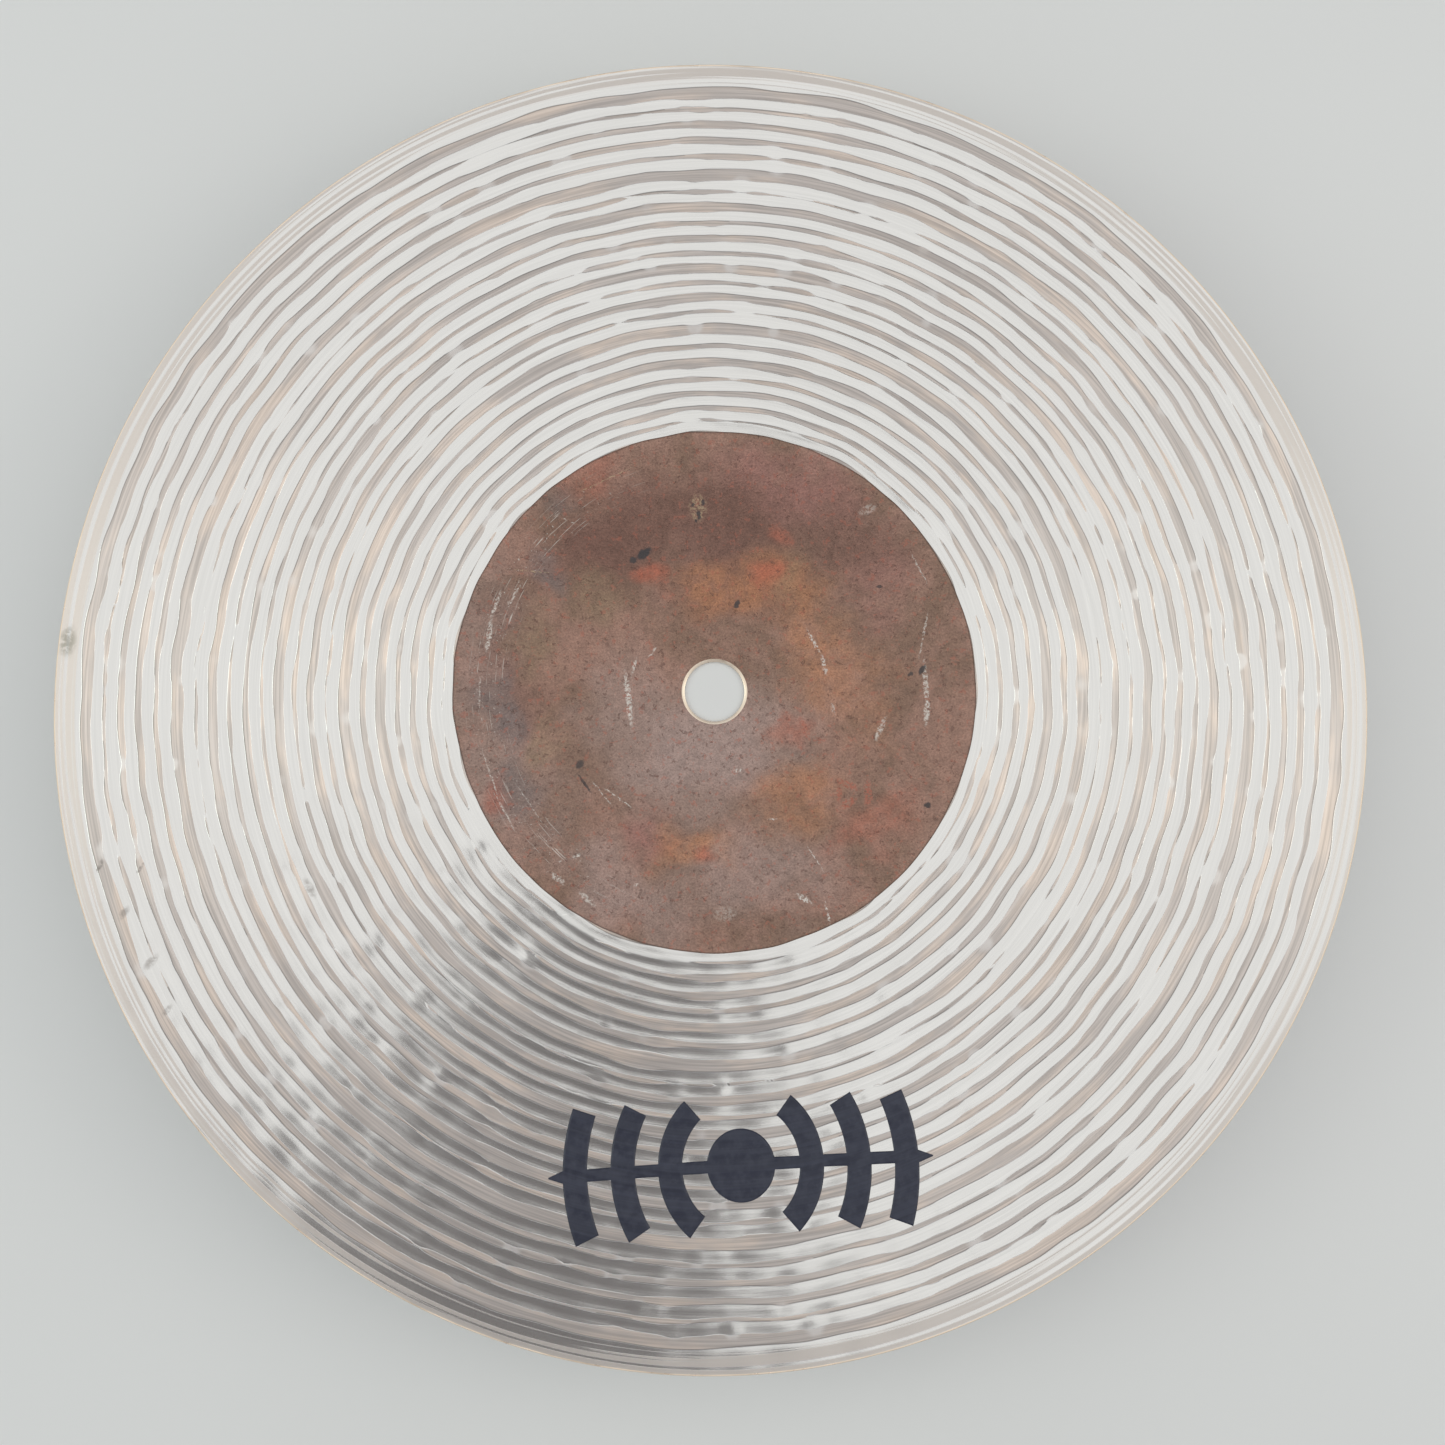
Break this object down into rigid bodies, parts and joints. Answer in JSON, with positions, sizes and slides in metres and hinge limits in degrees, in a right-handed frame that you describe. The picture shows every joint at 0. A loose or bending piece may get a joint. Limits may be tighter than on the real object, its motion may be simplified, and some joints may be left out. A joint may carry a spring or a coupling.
{
  "type": "crash cymbal",
  "caption": "Small thin hand-hammered and lathed bronze crash cymbal with a domed bell, a shallow bow and a centre hole for a cymbal stand, lying bell down.",
  "frame": {"origin": "centre of the flat seat round the stand hole on the playing side, which is the lowest face in this pose", "axes": "+Z along the cymbal's axis of revolution towards its open, hollow side; +X and +Y across the rim, with the printed emblem near -Y"},
  "size_m": [0.254, 0.254, 0.0267],
  "materials": {
    "lathed_bronze": "bright hammered bronze turned in fine concentric bands; the hollow side of the bell is raw, dark brown and oxidised",
    "navy_ink": "thin satin navy-black screen-printing ink"
  },
  "bodies": {
    "root": {"cymbal": "lathed_bronze", "printed_emblem": "navy_ink"}
  },
  "joints": []
}
